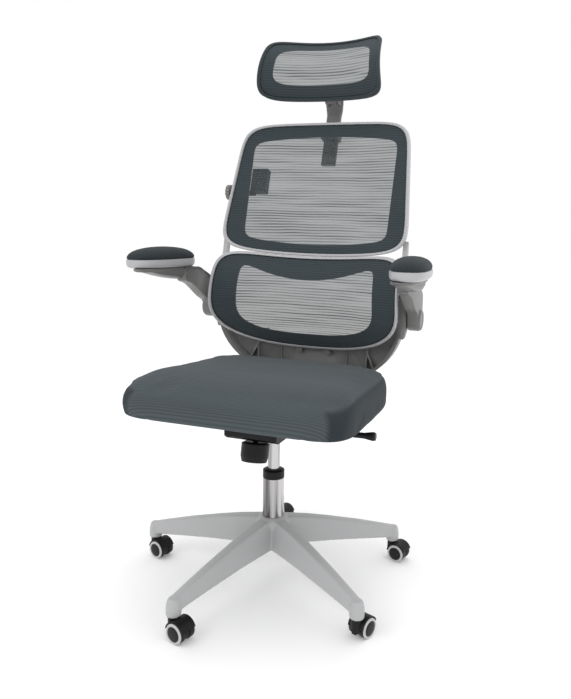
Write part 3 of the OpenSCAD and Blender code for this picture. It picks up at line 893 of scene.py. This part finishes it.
def build_panels(materials):
    """Upper, lumbar and headrest panels: a rim with its flange, and the sheet stretched in it."""
    rows = (("upper", UPPER, UPPER_WINDOW, "back"), ("lumbar", LUMBAR, LUMBAR_WINDOW, "lumbar"))
    for label, p, window, body in rows:
        rim = join(label + "_rim", [panel_rim("rim", p), panel_flange("flange", p, window)])
        dress(rim, body, "rim_grey", materials["rim"], replaces=[label + "_frame"])
        build_cloth(label, p, window, body, materials)
    rim = join("headrest_rim", [panel_rim("rim", HEAD), panel_flange("flange", HEAD, HEAD_WINDOW)])
    set_attribute(rim, "rib", [arc_length(HEAD, v.co.z / MM) for v in rim.data.vertices])
    dress(rim, "headrest", "slate_fabric", materials["border"], replaces=["headrest_frame"])
    build_cloth("headrest", HEAD, HEAD_WINDOW, "headrest", materials)


def build_bar():
    """Flat bar of the headrest upright, which flares into a plate behind the tilt hinge."""
    stations = [
        (346.2, 1003, 20, 7), (364, 1061, 20, 7), (376, 1100, 20, 7), (384.5, 1128, 20, 7),
        (388.5, 1141, 21, 6), (389, 1153, 23, 4.5), (387, 1163, 24.5, 3.5), (385.5, 1171, 25, 3.2),
        (385.2, 1179, 24, 3),
    ]
    path = curve(stations, 4)
    loops = []
    for i, (y, z, half, thick) in enumerate(path):
        before, after = path[max(i - 1, 0)], path[min(i + 1, len(path) - 1)]
        forward = Vector((0, after[0] - before[0], after[1] - before[1])).normalized()
        across = Vector((0, forward.z, -forward.y))
        loops.append([
            (Vector((x, y, z)) + across * depth) * MM
            for x, depth in (ring_point(t, half, thick, (5, 5)) for t in angles(48))
        ])
    return smooth(loft("bar", loops), 50)


def build_lug(x):
    """One lug of the tilt hinge and the short arm that holds it."""
    place = Matrix.Translation((x * MM, *TILT_PIN)) @ Matrix.Rotation(math.radians(90), 4, "Y")
    profile = [(0, 0), (8.2, 0), (9, 0.8), (9, 6.2), (8.2, 7.0), (5, 7.0), (4.4, 6.4), (0, 6.4)]
    lug = smooth(lathe("lug", [(r * MM, h * MM) for r, h in profile], 40, place), 35)
    section = ((363, 1176), (366, 1165), (384, 1158), (387, 1178), (372, 1180))
    loops = [[Vector((x + dx, y, z)) * MM for y, z in section] for dx in (0.3, 6.7)]
    return [lug, bevelled(loft("arm", loops), 0.0012, 2, 30)]


def build_screw(x, y, z, size):
    place = Matrix.Translation(Vector((x, y - 1.2, z)) * MM) @ Matrix.Rotation(math.radians(73), 4, "X")
    head = [(0, -1.5), (size, -1.5), (size, 0.8), (size * 0.7, 1.2), (size * 0.6, 0.4), (0, 0.3)]
    return smooth(lathe("screw", [(r * MM, h * MM) for r, h in head], 24, place), 35)


def build_stem(materials):
    """Curved upright of the headrest: bar, two hinge lugs and two screws."""
    parts = [build_bar()]
    for x in LUG_STARTS:
        parts += build_lug(x)
    for part in parts:
        part.data.materials.append(materials["shell"])
    for x, y, z, size in ((-3, 371.2, 1110, 3.2), (3, 368.6, 1101, 2.6)):
        screw = build_screw(x, y, z, size)
        screw.data.materials.append(materials["steel"])
        parts.append(screw)
    bar = join("headrest_upright", parts)
    dress(bar, "stem", "shell_grey", replaces=["headrest_stem"])


def build_shell(materials):
    shell = bevelled(copied("back_shell", "back_plate"), 0.0012, 2, 50)
    dress(shell, "back", "shell_grey", materials["shell"], replaces=["back_shell"])


# ---- CAD nodes that stay ----

def finish_nodes(materials):
    """Gives every CAD node the look of its record slot; the side knob, steel in its slot, gets the shell's
    dark grey as painted shade where it sits mostly hidden.
    """
    looks = {
        "chrome": "chrome",
        "steel": "steel",
        "black_plastic": "black",
        "shell_grey": "shell",
        "rim_grey": "rim",
        "nylon_grey": "nylon",
        "wheel_plastic": "wheel",
        "slate_fabric": "pad",
        "mesh_fabric": "window",
    }
    slots = {row["node"]: row["material_slot"] for row in frame["record"]["subparts"]}
    for name, node in frame["nodes"].items():
        node.data.materials.clear()
        # The side knob is painted the shell's dark grey as shade, in place of its steel
        look = "shell" if name == "adjuster_knob" else looks[slots[name]]
        node.data.materials.append(materials[look])
        smooth(node, 30)


# ---- Stage ----

def build_stage():
    far = FLOOR_HALF
    corners = [(-far, -far, 0), (far, -far, 0), (far, far, 0), (-far, far, 0)]
    floor = new_object("floor", corners, [(0, 1, 2, 3)])
    n = Nodes("floor_paper")
    n.plug(n.shader, "Base Color", n.between(n.noise(2, 3), scaled(PAPER, 0.99), PAPER))
    n.shader.inputs["Roughness"].default_value = 0.9
    n.shader.inputs["Specular IOR Level"].default_value = 0.1
    n.shader.inputs["Emission Color"].default_value = (1, 1, 1, 1)
    n.shader.inputs["Emission Strength"].default_value = 0.12
    floor.data.materials.append(n.material)
    world = bpy.data.worlds.new("studio")
    world.use_nodes = True
    world.node_tree.nodes["Background"].inputs["Color"].default_value = (1, 1, 1, 1)
    world.node_tree.nodes["Background"].inputs["Strength"].default_value = 1.0
    bpy.context.scene.world = world


def area_light(name, place, target, size, power):
    light = bpy.data.lights.new(name, "AREA")
    light.shape = "RECTANGLE"
    light.size, light.size_y = size
    light.energy = power
    obj = bpy.data.objects.new(name, light)
    obj.location = place
    obj.rotation_euler = (Vector(target) - Vector(place)).to_track_quat("-Z", "Y").to_euler()
    bpy.context.scene.collection.objects.link(obj)


def build_lights():
    area_light("key", (-1.6, -2.6, 2.6), (0, 0, 0.7), (1.8, 1.8), 22)
    area_light("fill", (2.8, -1.4, 1.6), (0, 0, 0.6), (1.6, 2.2), 6)
    area_light("top", (0.2, 0.6, 3.2), (0, 0, 0.6), (2.4, 2.4), 20)


def build_camera():
    """Camera in front of the chair and to its left side, tilted down and rolled a little."""
    yaw, pitch, roll = (math.radians(v) for v in CAMERA_TURN)
    forward = Vector((-math.sin(yaw) * math.cos(pitch), math.cos(yaw) * math.cos(pitch), -math.sin(pitch)))
    right = Vector((math.cos(yaw), math.sin(yaw), 0))
    up = right.cross(forward)
    rolled_right = right * math.cos(roll) + up * math.sin(roll)
    rolled_up = up * math.cos(roll) - right * math.sin(roll)
    data = bpy.data.cameras.new("camera")
    data.sensor_width = 36
    data.lens = CAMERA_LENS
    data.shift_x, data.shift_y = CAMERA_SHIFT
    data.clip_start = 0.05
    obj = bpy.data.objects.new("camera", data)
    turn = Matrix((rolled_right, rolled_up, -forward)).transposed().to_4x4()
    obj.matrix_world = Matrix.Translation(CAMERA_PLACE) @ turn
    bpy.context.scene.collection.objects.link(obj)
    bpy.context.scene.camera = obj


def main():
    materials = build_materials()
    finish_nodes(materials)
    build_star(materials)
    build_casters(materials)
    build_seat(materials)
    build_panels(materials)
    build_shell(materials)
    build_stem(materials)
    for side in (1, -1):
        build_arm(side, materials)
    build_stage()
    build_lights()
    build_camera()
    bpy.context.scene.view_settings.view_transform = "Standard"


main()
